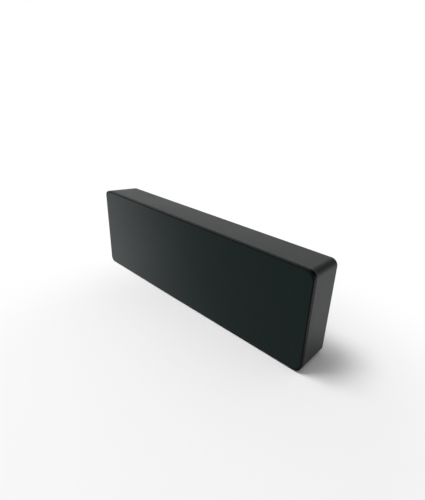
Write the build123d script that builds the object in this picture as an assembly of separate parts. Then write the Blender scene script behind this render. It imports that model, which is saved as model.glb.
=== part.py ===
from build123d import *

import os
from math import cos, hypot, pi, sin, sqrt

# A free-standing digital LED desk clock: a black slab with a dark lens over its whole front.
# Millimetres. X runs to the right as the display is read, Y to the back and Z up.
# The origin is on the table, under the middle of the clock.

# Case
width = 185.0
height = 60.0
corner_radius = 4.0
draft = 1.4  # the top and both ends lean in by this much from front to back
wall = 2.2
rim_wall = 1.4  # thinner wall round the rear cover
web = 1.8  # front wall behind the lens
rear_edge_round = 1.0
front_edge_break = 0.3
overrun = 1.0  # how far a cut runs past the face that it opens

# Foot pads
foot_height = 0.4  # the case's bottom stands this far above the table
foot_sink = 0.8
foot_length = 26.0
foot_depth = 15.0
foot_radius = 3.0
foot_end_gap = 16.0  # from the case's end to the pad
foot_fit = 0.1

# Lens and the tape that holds it
lens_thickness = 2.0
lens_edge_round = 0.45
tape_thickness = 0.3
tape_setback = 1.2

# Display
display_edge_border = 6.8  # case top and bottom to the reflector
window_gap = 0.3
window_radius = 1.5
flange_width = 1.6
flange_thickness = 1.2
flange_gap = 1.0  # from the flange to the case's bosses
diffuser_gap = 0.2
diffuser_thickness = 0.4
reflector_stand = 4.7  # from the back of the web to the board
reflector_border = 2.2
indicator_column = 12.0
colon_column = 14.0
digit_gap = 9.0
segment_width = 5.0
segment_gap = 0.8
cavity_lean = 0.6  # each cavity wall leans in by this much towards its lights
colon_dot = 4.6
indicator_dot = 3.0
peg_diameter = 2.0
peg_fit = 0.1
peg_stand = 0.3

# LED chips
led_length = 2.0
led_width = 1.25
led_height = 0.8
leds_per_segment = 2

# Main board
board_thickness = 1.2
board_gap = 1.2
board_backspace = 0.6  # from the board to the battery bay
notch_gap = 1.0  # from the board to the case's bosses

# Screws and their bosses
case_screw_diameter = 2.6
case_screw_length = 8.0
case_head_diameter = 4.6
case_head_height = 1.6
case_pilot_diameter = 2.2
boss_radius = 3.0
boss_rib = 1.2
boss_rib_drop = 2.5
cup_wall = 1.2
cup_floor = 1.4
cup_gap = 0.5  # from the screw cups to the shell's wall
head_gap = 0.3
screw_recess = 2.2  # from the cover's face to the screw head's seat
screw_hole_gap = 0.2
board_screw_diameter = 2.0
board_screw_length = 4.5
board_head_diameter = 3.6
board_head_height = 1.3
board_pilot_diameter = 1.6
board_boss_radius = 2.5
board_boss_spread = 12.0  # above and below the middle
head_slope_share = 0.5  # of the head's height
cross_width = 0.6
cross_depth_share = 0.6  # of the head's height
cross_length_share = 0.6  # of the head's diameter

# Battery bay for three cells
cell_diameter = 10.5
cell_length = 44.5
cell_count = 3
cell_side_gap = 0.6
cell_top_gap = 0.4
cell_end_gap = 0.6
spring_working_length = 4.5
bay_floor = 1.1
bay_wall = 1.2
ridge_thickness = 1.0
ridge_height = 2.5
ridge_length = 26.0

# Battery contacts, springs and leads
contact_thickness = 0.4
contact_width = 9.0
contact_fit = 0.05
dimple_radius = 1.8
dimple_height = 0.6
lug_width = 3.0
lug_length = 1.8
lug_rise = 2.0
spring_wire = 0.6
spring_base_radius = 3.4
spring_tip_radius = 2.3
spring_length = 7.0
spring_turns = 3.5
spring_seat_gap = 0.05
wire_sides = 6
lead_diameter = 1.4
lead_bend_share = 0.8  # of the way from the lug to the lead's run
lead_drop = 13.0
lead_sides = 8

# Rear cover
cover_recess = 0.8  # the cover lies this far inside the rear rim
cover_gap = 0.15
ledge_thickness = 1.2
ledge_margin = 2.0
thumb_notch_width = 16.0
thumb_notch_height = 6.0
thumb_notch_depth = 0.8

# Battery door
door_thickness = 1.5
door_gap = 0.2
door_seat_gap = 0.1
door_lap = 2.0  # over the bay's bottom and end walls
door_corner = 2.0
hook_width = 6.0
hook_spread = 15.0  # from the middle of the door
hook_thickness = 1.2
hook_reach = 0.9
hook_play = 0.15
hook_root = 0.5
hook_side_gap = 0.4
latch_width = 12.0
latch_leg = 0.9
latch_leg_gap = 1.5
latch_depth = 5.0
latch_setback = 0.4
latch_side_gap = 0.5
latch_nose = 0.1
grip_count = 4
grip_pitch = 2.4
grip_length = 22.0
grip_width = 1.2
grip_depth = 0.4
grip_drop = 9.0

# Keys and their switches
key_names = ("mode", "set", "up", "down")
key_gap = 2.6  # between the flanges of two keys
key_height = 5.0
key_corner = 1.6
key_proud = 0.6
key_edge_break = 0.4
key_fit = 0.2
key_travel = 0.4
key_flange = 1.0
key_flange_thickness = 1.0
key_rest_gap = 0.1
key_stem_radius = 1.8
key_row_rise = 9.0  # above the middle
key_margin = 1.8
switch_side = 6.0
switch_body_height = 3.5
switch_height = 9.5
switch_corner = 0.4
plunger_radius = 1.7
plunger_fit = 0.1
plunger_seat = 1.2
plunger_over_travel = 0.3

# Supply socket and its board
socket_width = 7.6
socket_height = 2.8
socket_corner = 0.9
socket_skin = 0.3
socket_depth = 5.6
socket_setback = 0.2  # of its mouth, inside the cover's face
socket_fit = 0.25
socket_drop = 16.0  # below the middle
tongue_width = 3.8
tongue_thickness = 0.6
tongue_length = 4.2
riser_width = 14.0
riser_thickness = 1.0
riser_gap = 0.4

# Buzzer and sound holes
buzzer_diameter = 12.0
buzzer_height = 8.5
buzzer_mouth = 2.0
buzzer_mouth_depth = 1.5
buzzer_rise = 8.0  # above the middle
sound_hole = 1.5
sound_ring = 3.4
sound_ring_count = 6

# Other parts on the board
chip_length = 17.9
chip_width = 7.5
chip_height = 2.3
chip_lead_count = 14
chip_lead_pitch = 1.27
chip_lead_width = 0.45
chip_lead_reach = 1.4
chip_lead_thickness = 0.3
chip_drop = 12.0  # below the middle
crystal_length = 11.0
crystal_width = 4.6
crystal_height = 3.5
crystal_gap = 3.0
capacitor_diameter = 6.3
capacitor_height = 11.0
capacitor_gap = 4.0
can_edge_break = 0.5
resistor_length = 2.0
resistor_width = 1.25
resistor_height = 0.6
resistor_count = 8
resistor_drop = 2.0  # below the middle
transistor_length = 2.9
transistor_width = 1.6
transistor_height = 1.1
transistor_pitch = 4.5
transistor_count = 4
transistor_drop = 3.5  # below the middle

# Places through the depth, from the lens to the rear rim
depth = (
    lens_thickness + tape_thickness + web + reflector_stand + board_thickness + board_backspace
    + bay_floor + cell_diameter + cell_top_gap + door_seat_gap + door_thickness + cover_recess
)
front = -depth / 2
lens_back = front + lens_thickness
shell_front = lens_back + tape_thickness
web_back = shell_front + web
board_front = web_back + reflector_stand
board_back = board_front + board_thickness
bay_bottom = board_back + board_backspace
bay_seat = bay_bottom + bay_floor
cover_inner = bay_seat + cell_diameter + cell_top_gap
door_inner = cover_inner + door_seat_gap
cover_outer = door_inner + door_thickness
rear = cover_outer + cover_recess

# Places across the case
case_bottom = foot_height
middle = (case_bottom + height) / 2
cup_radius = case_head_diameter / 2 + head_gap + cup_wall
boss_inset = wall + cup_gap + cup_radius
boss_x = width / 2 - draft - boss_inset
boss_low = case_bottom + boss_inset
boss_high = height - draft - boss_inset
boss_places = [(x, z) for x in (-boss_x, boss_x) for z in (boss_low, boss_high)]
screw_seat = cover_outer - screw_recess
boss_top = screw_seat - cup_floor
reflector_width = 2 * (boss_x - boss_radius - flange_gap - flange_width)
reflector_height = height - case_bottom - 2 * display_edge_border
board_boss_x = reflector_width / 2 + flange_width + flange_gap + board_boss_radius
board_boss_places = [
    (x, middle + z) for x in (-board_boss_x, board_boss_x) for z in (-board_boss_spread, board_boss_spread)
]

# Digits
digit_width = (reflector_width / 2 - indicator_column - colon_column / 2 - digit_gap) / 2
digit_height = reflector_height - 2 * reflector_border
inner_digit_x = (colon_column + digit_width) / 2
outer_digit_x = inner_digit_x + digit_width + digit_gap
digit_places = (-outer_digit_x, -inner_digit_x, inner_digit_x, outer_digit_x)
across_length = digit_width - segment_width - segment_gap
upright_length = (digit_height - segment_width) / 2 - segment_gap
reflector_front = lens_back + diffuser_gap + diffuser_thickness
peg_x = (inner_digit_x + outer_digit_x) / 2
peg_rise = digit_height / 2 - peg_diameter
peg_places = [(x, middle + z) for x in (-peg_x, peg_x) for z in (-peg_rise, peg_rise)]

# Battery bay and door
cell_pitch = cell_diameter + cell_side_gap
bay_length = cell_length + spring_working_length + cell_end_gap
bay_height = cell_count * cell_pitch
latch_room = 2 * latch_leg + latch_leg_gap + latch_setback
top_lap = bay_wall + latch_side_gap + latch_room
bay_middle = middle - (top_lap - door_lap) / 2
bay_low = bay_middle - bay_height / 2
bay_high = bay_middle + bay_height / 2
cell_rows = [bay_low + cell_pitch * (row + 1 / 2) for row in range(cell_count)]
door_low = bay_low - door_lap
door_high = bay_high + top_lap
door_width = bay_length + 2 * door_lap
hinge_y = (door_inner + cover_outer) / 2
hinge_z = door_low + door_thickness / 2

# Key row and the other half of the back
zone_start = door_width / 2 + ledge_margin + key_margin
zone_end = boss_x - cup_radius - key_margin
zone_middle = (zone_start + zone_end) / 2
key_pitch = (zone_end - zone_start) / len(key_names)
key_width = key_pitch - 2 * key_flange - key_gap
first_key = zone_start + key_pitch / 2
key_places = [first_key + key_pitch * place for place in range(len(key_names))]
key_row = middle + key_row_rise
socket_row = middle - socket_drop
buzzer_row = middle + buzzer_rise

# The leads run half way between the solder lugs and the first switch
lug_end = bay_length / 2 + contact_thickness / 2 + bay_wall + lug_length
lead_x = (lug_end + first_key - switch_side / 2) / 2
lead_bend = (lead_x - lug_end) * lead_bend_share


def across(y, x=0, z=0):
    """Plane that faces the front at depth y, its own X along +X and its own Y along +Z."""
    return Plane(origin=(x, y, z), x_dir=(1, 0, 0), z_dir=(0, -1, 0))


def slab(outline, y_from, y_to, x=0, z=0):
    """An outline in X and Z, carried through the depth from y_from to y_to."""
    return extrude(across(y_from, x, z) * outline, amount=y_to - y_from, dir=(0, 1, 0))


def rod(radius, y_from, y_to, x, z):
    """A round rod or bore through the depth from y_from to y_to."""
    return slab(Circle(radius), y_from, y_to, x, z)


def along_x(face, length, x=0):
    """A face drawn in Y and Z, carried along X with its middle at x."""
    return Pos(x, 0, 0) * extrude(Plane.YZ * face, amount=length / 2, both=True)


def rectangle_yz(y_from, y_to, z_from, z_to):
    """A rectangle between two depths and two heights, for use with along_x."""
    return Pos((y_from + y_to) / 2, (z_from + z_to) / 2, 0) * Rectangle(y_to - y_from, z_to - z_from)


def case_section(y, inset):
    """The case's outline at depth y, moved in by inset; the bottom is level, the rest leans in."""
    lean = draft * (y - shell_front) / (rear - shell_front)
    low = case_bottom + inset
    high = height - lean - inset
    outline = RectangleRounded(width - 2 * (lean + inset), high - low, corner_radius - inset)
    return across(y, 0, (low + high) / 2) * outline


def case_loft(y_from, y_to, inset):
    """The case's leaning form between two depths, moved in by inset."""
    return loft([case_section(y_from, inset), case_section(y_to, inset)])


def front_edges(part):
    """The edges round the foremost face."""
    return part.faces().sort_by(Axis.Y)[0].edges()


def rear_edges(part):
    """The edges round the rearmost face."""
    return part.faces().sort_by(Axis.Y)[-1].edges()


def lens_panel():
    """Full-face lens with a softened front edge."""
    outline = RectangleRounded(width, height - case_bottom, corner_radius)
    lens = slab(outline, front, lens_back, z=middle)
    return fillet(front_edges(lens), lens_edge_round)


def lens_tape():
    """Tape ring between the lens and the shell's front wall."""
    trim = 2 * tape_setback
    ring = RectangleRounded(width - trim, height - case_bottom - trim, corner_radius - tape_setback)
    opening = RectangleRounded(reflector_width + trim, reflector_height + trim, window_radius)
    return slab(ring - opening, lens_back, shell_front, z=middle)


def boss_with_ribs(x, z):
    """One screw boss, tied to the case's end and to its top or bottom by a rib each."""
    outward = boss_inset + draft
    side = outward / 2 if x > 0 else -outward / 2
    rise = outward / 2 if z > middle else -outward / 2
    rib_top = boss_top - boss_rib_drop
    post = rod(boss_radius, web_back, boss_top, x, z)
    end_rib = slab(Rectangle(outward, boss_rib), web_back, rib_top, x + side, z)
    edge_rib = slab(Rectangle(boss_rib, outward), web_back, rib_top, x, z + rise)
    return post + end_rib + edge_rib


def foot_outline():
    """Outline of a foot pad, seen from below."""
    return RectangleRounded(foot_length, foot_depth, foot_radius)


def foot_places():
    """Middles of the two pads on the case's bottom."""
    x = width / 2 - draft - foot_end_gap - foot_length / 2
    y = (shell_front + rear) / 2
    return [(-x, y), (x, y)]


def front_shell():
    """Case in one piece: four leaning walls, a front wall with the window, bosses and ribs."""
    break_end = shell_front + front_edge_break
    outside = case_loft(break_end, rear, 0)
    outside = fillet(rear_edges(outside), rear_edge_round)
    outside += loft([case_section(shell_front, front_edge_break), case_section(break_end, 0)])
    window = RectangleRounded(
        reflector_width + 2 * window_gap, reflector_height + 2 * window_gap, window_radius
    )
    shell = outside - case_loft(web_back, cover_inner, wall)
    shell -= case_loft(cover_inner, rear + overrun, rim_wall)
    shell -= slab(window, shell_front - overrun, web_back + overrun, z=middle)
    for x, z in boss_places:
        shell += boss_with_ribs(x, z) & outside
    for x, z in board_boss_places:
        shell += rod(board_boss_radius, web_back, board_front, x, z)
    for x, z in boss_places:
        pilot_floor = boss_top - (case_screw_length - cup_floor) - overrun
        shell -= rod(case_pilot_diameter / 2, pilot_floor, boss_top + overrun, x, z)
    for x, z in board_boss_places:
        shell -= rod(board_pilot_diameter / 2, web_back, board_front + overrun, x, z)
    for x, y in foot_places():
        pocket = extrude(foot_outline(), amount=overrun + foot_sink)
        shell -= Pos(x, y, case_bottom - overrun) * pocket
    return shell


def foot_pads():
    """Rubber pads, let into the bottom of the case."""
    pad = offset(foot_outline(), -foot_fit)
    return [Pos(x, y, 0) * extrude(pad, amount=case_bottom + foot_sink) for x, y in foot_places()]


def segment_outline(length, thickness):
    """A segment with pointed ends, lying along X."""
    half = length / 2
    tip = thickness / 2
    shoulder = half - tip
    points = [(-half, 0), (-shoulder, tip), (shoulder, tip), (half, 0), (shoulder, -tip), (-shoulder, -tip)]
    return Polygon(*points, align=None)


def segment_places():
    """Place, turn and length of each segment of each digit."""
    places = []
    rise = (digit_height - segment_width) / 2
    reach = (digit_width - segment_width) / 2
    for x in digit_places:
        for level in (-rise, 0, rise):
            places.append((x, middle + level, 0, across_length))
        for side in (-reach, reach):
            for level in (-rise / 2, rise / 2):
                places.append((x + side, middle + level, 90, upright_length))
    return places


def dot_places():
    """Place and diameter of the colon's dots and of the two marks at the left end."""
    rise = digit_height / 4
    mark_x = (indicator_column - reflector_width) / 2
    colon = [(0, middle + level, colon_dot) for level in (-rise, rise)]
    marks = [(mark_x, middle + level, indicator_dot) for level in (-rise, rise)]
    return colon + marks


def reflector_outline():
    """Outline of the reflector's block, which fills the window in the front wall."""
    return RectangleRounded(reflector_width, reflector_height, window_radius - window_gap)


def segment_reflector():
    """Block with one leaning light cavity for each segment and dot, a flange and four pegs."""
    block = slab(reflector_outline(), reflector_front, board_front, z=middle)
    flange = Rectangle(reflector_width + 2 * flange_width, reflector_height + 2 * flange_width)
    block += slab(flange, web_back, web_back + flange_thickness, z=middle)
    cavities = []
    for x, z, turn, length in segment_places():
        mouth = Rot(0, 0, turn) * segment_outline(length, segment_width)
        throat = Rot(0, 0, turn) * segment_outline(length - 2 * cavity_lean, segment_width - 2 * cavity_lean)
        sections = [across(reflector_front, x, z) * mouth, across(board_front, x, z) * throat]
        cavities.append(loft(sections, ruled=True))
    for x, z, diameter in dot_places():
        cavities.append(rod(diameter / 2, reflector_front, board_front, x, z))
    block -= cavities
    for x, z in peg_places:
        block += rod(peg_diameter / 2, board_front, board_back + peg_stand, x, z)
    return block


def diffuser_sheet():
    """Thin sheet on the front of the reflector."""
    return slab(reflector_outline(), reflector_front - diffuser_thickness, reflector_front, z=middle)


def segment_leds():
    """LED chips on the board, two in each segment and one in each dot."""
    chips = []
    for x, z, turn, length in segment_places():
        pitch = length / leds_per_segment
        for place in range(leds_per_segment):
            along = pitch * place - (length - pitch) / 2
            chip = Rot(0, 0, turn) * Pos(along, 0, 0) * Rectangle(led_length, led_width)
            chips.append(slab(chip, board_front - led_height, board_front, x, z))
    for x, z, diameter in dot_places():
        chips.append(slab(Rectangle(led_length, led_width), board_front - led_height, board_front, x, z))
    return chips


def main_board():
    """Board that fills the case, notched round the bosses and drilled for pegs and screws."""
    outline = case_section(board_back, wall + board_gap)
    board = extrude(outline, amount=board_thickness, dir=(0, -1, 0))
    clear = boss_radius + notch_gap
    notch = clear + boss_inset + draft
    for x, z in boss_places:
        side = notch / 2 - clear if x > 0 else clear - notch / 2
        rise = notch / 2 - clear if z > middle else clear - notch / 2
        corner = Rectangle(notch, notch)
        board -= slab(corner, board_front - overrun, board_back + overrun, x + side, z + rise)
    holes = [(x, z, peg_diameter / 2 + peg_fit) for x, z in peg_places]
    holes += [(x, z, board_screw_diameter / 2 + screw_hole_gap) for x, z in board_boss_places]
    board -= [rod(radius, board_front - overrun, board_back + overrun, x, z) for x, z, radius in holes]
    return board


def pan_screw(x, z, seat, diameter, length, head_diameter, head_height):
    """Round-headed screw with a cross slot, driven from the back into a seat at depth y."""
    head = rod(head_diameter / 2, seat, seat + head_height, x, z)
    head = chamfer(rear_edges(head), head_height * head_slope_share)
    arm = head_diameter * cross_length_share
    slot_floor = seat + head_height * (1 - cross_depth_share)
    cross = Rectangle(arm, cross_width) + Rectangle(cross_width, arm)
    head -= slab(cross, slot_floor, seat + head_height + overrun, x, z)
    return head + rod(diameter / 2, seat - length, seat, x, z)


def case_screws():
    """Screws that hold the rear cover on the shell's bosses."""
    sizes = (screw_seat, case_screw_diameter, case_screw_length, case_head_diameter, case_head_height)
    return [pan_screw(x, z, *sizes) for x, z in boss_places]


def board_screws():
    """Screws that hold the board on its bosses."""
    sizes = (board_back, board_screw_diameter, board_screw_length, board_head_diameter, board_head_height)
    return [pan_screw(x, z, *sizes) for x, z in board_boss_places]


def battery_bay():
    """Walls and floor of the bay with the ledge that the door lies on, before the bay is hollowed."""
    box = Rectangle(bay_length + 2 * bay_wall, bay_height + 2 * bay_wall)
    bay = slab(box, bay_bottom, cover_inner, z=bay_middle)
    ledge = Rectangle(door_width + 2 * ledge_margin, door_high - door_low + 2 * ledge_margin)
    return bay + slab(ledge, cover_inner - ledge_thickness, cover_inner, z=middle)


def door_opening():
    """Hole in the cover for the door, square at the hooks and rounded at the latch."""
    outline = Rectangle(door_width + 2 * door_gap, door_high - door_low + 2 * door_gap)
    outline = fillet(outline.vertices().group_by(Axis.Y)[-1], door_corner + door_gap)
    return slab(outline, cover_inner, cover_outer + overrun, z=middle)


def hook_sweep():
    """Room that the hooks need as the door swings, with a margin."""
    toe_y = cover_inner - hook_play - hook_thickness - hinge_y
    toe_z = door_low - door_gap - hook_reach - hinge_z
    heel_z = door_low + hook_root + hook_thickness - hinge_z
    return max(hypot(toe_y, toe_z), hypot(toe_y, heel_z)) + door_gap


def hook_slots():
    """Slots in the ledge and the bay's bottom wall for the door's two hooks."""
    room = hook_sweep()
    low = door_low - door_gap - hook_reach - door_gap
    high = hinge_z + room
    outline = Rectangle(hook_width + 2 * hook_side_gap, high - low)
    places = (-hook_spread, hook_spread)
    return [slab(outline, hinge_y - room, cover_inner, x, (low + high) / 2) for x in places]


def latch_slot():
    """Slot in the ledge for the door's latch tongue."""
    low = bay_high + bay_wall
    high = door_high + door_gap
    outline = Rectangle(latch_width + 2 * latch_side_gap, high - low)
    return slab(outline, cover_inner - ledge_thickness, cover_inner, 0, (low + high) / 2)


def thumb_notch():
    """Shallow notch above the door for a thumb."""
    outline = SlotOverall(thumb_notch_width, thumb_notch_height)
    return slab(outline, cover_outer - thumb_notch_depth, cover_outer + overrun, 0, door_high + door_gap)


def contact_rows():
    """End, lowest and highest row of each contact plate, for three cells in series."""
    return [(-1, 0, 0), (-1, 1, 2), (1, 0, 1), (1, 2, 2)]


def spring_end(row):
    """End of the bay where the minus pole of a row's cell rests on a spring: -1 left, 1 right."""
    return -1 if row % 2 == 0 else 1


def contact_pocket(end, first, last, fit):
    """Block that a contact plate fills in the bay's end wall."""
    height_of_plate = cell_rows[last] - cell_rows[first] + contact_width + 2 * fit
    low = bay_seat + (cell_diameter - contact_width) / 2
    outline = Rectangle(contact_thickness, height_of_plate)
    x = end * (bay_length + contact_thickness) / 2
    return slab(outline, low - fit, low + contact_width + fit, x, (cell_rows[first] + cell_rows[last]) / 2)


def lug(end, row, fit):
    """Solder lug of an end contact, through the bay's end wall."""
    length = bay_wall + lug_length
    outline = Rectangle(length, lug_width + 2 * fit)
    x = end * (bay_length / 2 + contact_thickness / 2 + length / 2)
    low = bay_seat + lug_rise
    return slab(outline, low - fit, low + contact_thickness + fit, x, cell_rows[row])


def contact_plates():
    """Four battery contacts: a dimple faces each plus pole, and the two ends have solder lugs."""
    plates = []
    for end, first, last in contact_rows():
        plate = contact_pocket(end, first, last, 0)
        if first == last:
            plate += lug(end, first, 0)
        for row in range(first, last + 1):
            if end != spring_end(row):
                axis_y = bay_seat + cell_diameter / 2
                face = Plane(origin=(end * bay_length / 2, axis_y, cell_rows[row]), z_dir=(-end, 0, 0))
                tip = face.offset(dimple_height) * Circle(dimple_radius / 2)
                plate += loft([face * Circle(dimple_radius), tip])
        plates.append(plate)
    return plates


def biarc(start, start_way, end, end_way):
    """Two arcs that meet smoothly and leave and reach the given points in the given directions."""
    across_gap = end - start
    ways = start_way + end_way
    spread = 2 * (1 - start_way.dot(end_way))
    lean = across_gap.dot(ways)
    run = (sqrt(lean * lean + spread * across_gap.dot(across_gap)) - lean) / spread
    first = start + start_way * run
    last = end - end_way * run
    joint = (first + last) * (1 / 2)
    return [
        TangentArc(start, joint, tangent=start_way),
        TangentArc(joint, end, tangent=(last - first).normalized()),
    ]


def spring_line(end, row):
    """Middle line of a conical spring on its plate, in quarter turns, with its start and direction."""
    base_x = end * bay_length / 2
    axis_y = bay_seat + cell_diameter / 2
    seat = spring_wire / 2 + spring_seat_gap
    coil_length = spring_length - seat - spring_wire / 2
    shrink = spring_base_radius - spring_tip_radius

    def point(turn):
        share = turn / spring_turns
        radius = spring_base_radius - shrink * share
        angle = 2 * pi * turn
        along = seat + coil_length * share
        axis = Vector(base_x - end * along, axis_y, cell_rows[row])
        return axis + Vector(0, cos(angle), sin(angle)) * radius

    def way(turn):
        share = turn / spring_turns
        radius = spring_base_radius - shrink * share
        angle = 2 * pi * turn
        narrowing = shrink / spring_turns
        return Vector(
            -end * coil_length / spring_turns,
            -narrowing * cos(angle) - 2 * pi * radius * sin(angle),
            -narrowing * sin(angle) + 2 * pi * radius * cos(angle),
        ).normalized()

    edges = []
    quarters = round(4 * spring_turns)
    for quarter in range(quarters):
        turn = spring_turns * quarter / quarters
        next_turn = spring_turns * (quarter + 1) / quarters
        edges += biarc(point(turn), way(turn), point(next_turn), way(next_turn))
    return Wire(edges), point(0), way(0)


def self_gap(line):
    """Least gap of a spring to itself, on points along its middle line that are half a turn apart."""
    steps = round(line.length / (spring_wire / 4))
    points = [line @ (step / steps) for step in range(steps + 1)]
    apart = round(pi * spring_tip_radius * steps / line.length)
    gaps = []
    for index, point in enumerate(points):
        gaps += [(point - other).length for other in points[index + apart:]]
    return min(gaps) - spring_wire


def battery_springs():
    """Conical springs at the minus pole of each cell, on alternate ends."""
    springs = []
    for row in range(cell_count):
        line, start, way = spring_line(spring_end(row), row)
        print(f"spring {row}: least gap to itself {self_gap(line):.2f} mm")
        plane = Plane(origin=start, x_dir=(1, 0, 0), z_dir=way)
        springs.append(sweep(plane * RegularPolygon(spring_wire / 2, wire_sides), path=line))
    return springs


def battery_lead(end, row, fall):
    """Lead from a solder lug to the board, held at both ends."""
    y = bay_seat + lug_rise + contact_thickness / 2
    start = (end * lug_end, y, cell_rows[row])
    corner = (end * lead_x, y, cell_rows[row])
    turn = (end * lead_x, y, cell_rows[row] + fall)
    finish = (end * lead_x, board_back, cell_rows[row] + fall)
    line = FilletPolyline(start, corner, turn, finish, radius=lead_bend)
    section = Plane(origin=start, z_dir=(end, 0, 0)) * RegularPolygon(lead_diameter / 2, lead_sides)
    return sweep(section, path=line)


def through_cover(outline, x, z):
    """Hole of a given outline through the cover's plate."""
    return slab(outline, cover_inner - overrun, cover_outer + overrun, x, z)


def screw_openings():
    """Room in the screw cups for the heads and shanks of the case screws."""
    cuts = []
    for x, z in boss_places:
        cuts.append(rod(case_head_diameter / 2 + head_gap, screw_seat, cover_outer + overrun, x, z))
        cuts.append(rod(case_screw_diameter / 2 + screw_hole_gap, boss_top - overrun, cover_outer, x, z))
    return cuts


def socket_opening():
    """Hole for the supply socket."""
    outline = RectangleRounded(
        socket_width + 2 * socket_fit, socket_height + 2 * socket_fit, socket_corner + socket_fit
    )
    return through_cover(outline, -zone_middle, socket_row)


def sound_holes():
    """Ring of holes round a middle hole, in front of the buzzer's mouth."""
    places = [(0, 0)]
    for place in range(sound_ring_count):
        angle = 2 * pi * place / sound_ring_count
        places.append((sound_ring * cos(angle), sound_ring * sin(angle)))
    return [through_cover(Circle(sound_hole / 2), x - zone_middle, buzzer_row + z) for x, z in places]


def contact_slots():
    """Pockets for the contact plates in the bay's end walls, with slots for the two lugs."""
    cuts = []
    for end, first, last in contact_rows():
        cuts.append(contact_pocket(end, first, last, contact_fit))
        if first == last:
            cuts.append(lug(end, first, contact_fit))
    return cuts


def rear_cover():
    """Inset back plate with the bay, screw cups and all openings."""
    cover = case_loft(cover_inner, cover_outer, rim_wall + cover_gap) + battery_bay()
    for x, z in boss_places:
        cover += rod(cup_radius, boss_top, cover_inner, x, z)
    cuts = [slab(Rectangle(bay_length, bay_height), bay_seat, cover_inner, z=bay_middle), door_opening()]
    cuts += hook_slots() + [latch_slot(), thumb_notch()] + screw_openings()
    cuts += [through_cover(key_outline(key_fit), x, key_row) for x in key_places]
    cuts += [socket_opening()] + sound_holes() + contact_slots()
    cover -= cuts
    for row in range(1, cell_count):
        ridge = Rectangle(ridge_length, ridge_thickness)
        cover += slab(ridge, bay_seat, bay_seat + ridge_height, 0, bay_low + cell_pitch * row)
    return cover


def door_plate():
    """Door with a fully rounded bottom edge, on which it swings, and a notch for its latch."""
    straight = Polyline(
        (door_inner, hinge_z), (door_inner, door_high), (cover_outer, door_high), (cover_outer, hinge_z)
    )
    rounded = ThreePointArc((cover_outer, hinge_z), (hinge_y, door_low), (door_inner, hinge_z))
    plate = along_x(make_face([straight, rounded]), door_width)
    corners = plate.edges().filter_by(Axis.Y).group_by(Axis.Z)[-1]
    plate = fillet(corners, door_corner)
    notch_depth = latch_room - latch_leg
    notch = Rectangle(latch_width + 2 * latch_side_gap, 2 * notch_depth)
    plate -= slab(notch, door_inner - overrun, cover_outer + overrun, 0, door_high)
    for place in range(grip_count):
        groove = SlotOverall(grip_length, grip_width)
        z = door_high - grip_drop - grip_pitch * place
        plate -= slab(groove, cover_outer - grip_depth, cover_outer + overrun, 0, z)
    return plate


def door_hook(x):
    """Hook that passes through the ledge and under the cover's edge."""
    top = cover_inner - hook_play
    bottom = top - hook_thickness
    toe = door_low - door_gap - hook_reach
    heel = door_low + hook_root
    back = heel + hook_thickness
    outline = rectangle_yz(bottom, top, toe, back) + rectangle_yz(bottom, door_inner, heel, back)
    return along_x(outline, hook_width, x)


def latch_tongue():
    """Springy U-shaped tongue: an inner leg on the door, a bend, and an outer leg with a thumb pad."""
    outer_face = door_high - latch_setback
    outer_back = outer_face - latch_leg
    inner_face = outer_back - latch_leg_gap
    inner_back = inner_face - latch_leg
    bend_y = door_inner - latch_depth + (outer_face - inner_back) / 2
    bend_z = (outer_face + inner_back) / 2
    pad_top = cover_outer - door_gap
    tongue = rectangle_yz(bend_y, door_inner, inner_back, inner_face)
    tongue += rectangle_yz(bend_y, pad_top, outer_back, outer_face)
    tongue += rectangle_yz(door_inner, pad_top, outer_back, door_high + latch_nose)
    bend = Pos(bend_y, bend_z, 0) * (Circle((outer_face - inner_back) / 2) - Circle(latch_leg_gap / 2))
    tongue += bend & rectangle_yz(door_inner - latch_depth, bend_y, inner_back, outer_face)
    return along_x(tongue, latch_width)


def battery_door():
    """Door with its plate, two hooks and the latch tongue, moulded in one piece."""
    return door_plate() + door_hook(-hook_spread) + door_hook(hook_spread) + latch_tongue()


def key_outline(margin):
    """Outline of a key, made larger by a margin all round."""
    return RectangleRounded(key_width + 2 * margin, key_height + 2 * margin, key_corner + margin)


def key(x):
    """One key: a rounded cap, a flange that keeps it in the cover, and a stem on the switch."""
    flange_top = cover_inner - key_rest_gap
    flange_bottom = flange_top - key_flange_thickness
    cap = slab(key_outline(0), flange_top, cover_outer + key_proud, x, key_row)
    cap = chamfer(rear_edges(cap), key_edge_break)
    flange = Rectangle(key_width + 2 * key_flange, key_height + 2 * key_flange)
    cap += slab(flange, flange_bottom, flange_top, x, key_row)
    return cap + rod(key_stem_radius, board_back + switch_height, flange_bottom, x, key_row)


def plunger(x):
    """Moving plunger of one switch, under its key's stem."""
    foot = board_back + switch_body_height - plunger_seat
    return rod(plunger_radius, foot, board_back + switch_height, x, key_row)


def switch_bodies():
    """Housings of the four switches, bored for their plungers."""
    bodies = []
    for x in key_places:
        top = board_back + switch_body_height
        body = slab(Rectangle(switch_side, switch_side), board_back, top, x, key_row)
        body = chamfer(body.edges().filter_by(Axis.Y), switch_corner)
        floor = top - plunger_seat - key_travel - plunger_over_travel
        bodies.append(body - rod(plunger_radius + plunger_fit, floor, top + overrun, x, key_row))
    return bodies


def socket_mouth():
    """Depth of the supply socket's mouth."""
    return cover_outer - socket_setback


def usb_socket():
    """Metal shell of the supply socket, open to the back."""
    outside = RectangleRounded(socket_width, socket_height, socket_corner)
    inside = RectangleRounded(
        socket_width - 2 * socket_skin, socket_height - 2 * socket_skin, socket_corner - socket_skin
    )
    inner_end = socket_mouth() - socket_depth
    shell = slab(outside, inner_end, socket_mouth(), -zone_middle, socket_row)
    return shell - slab(inside, inner_end + socket_skin, socket_mouth() + overrun, -zone_middle, socket_row)


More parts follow.
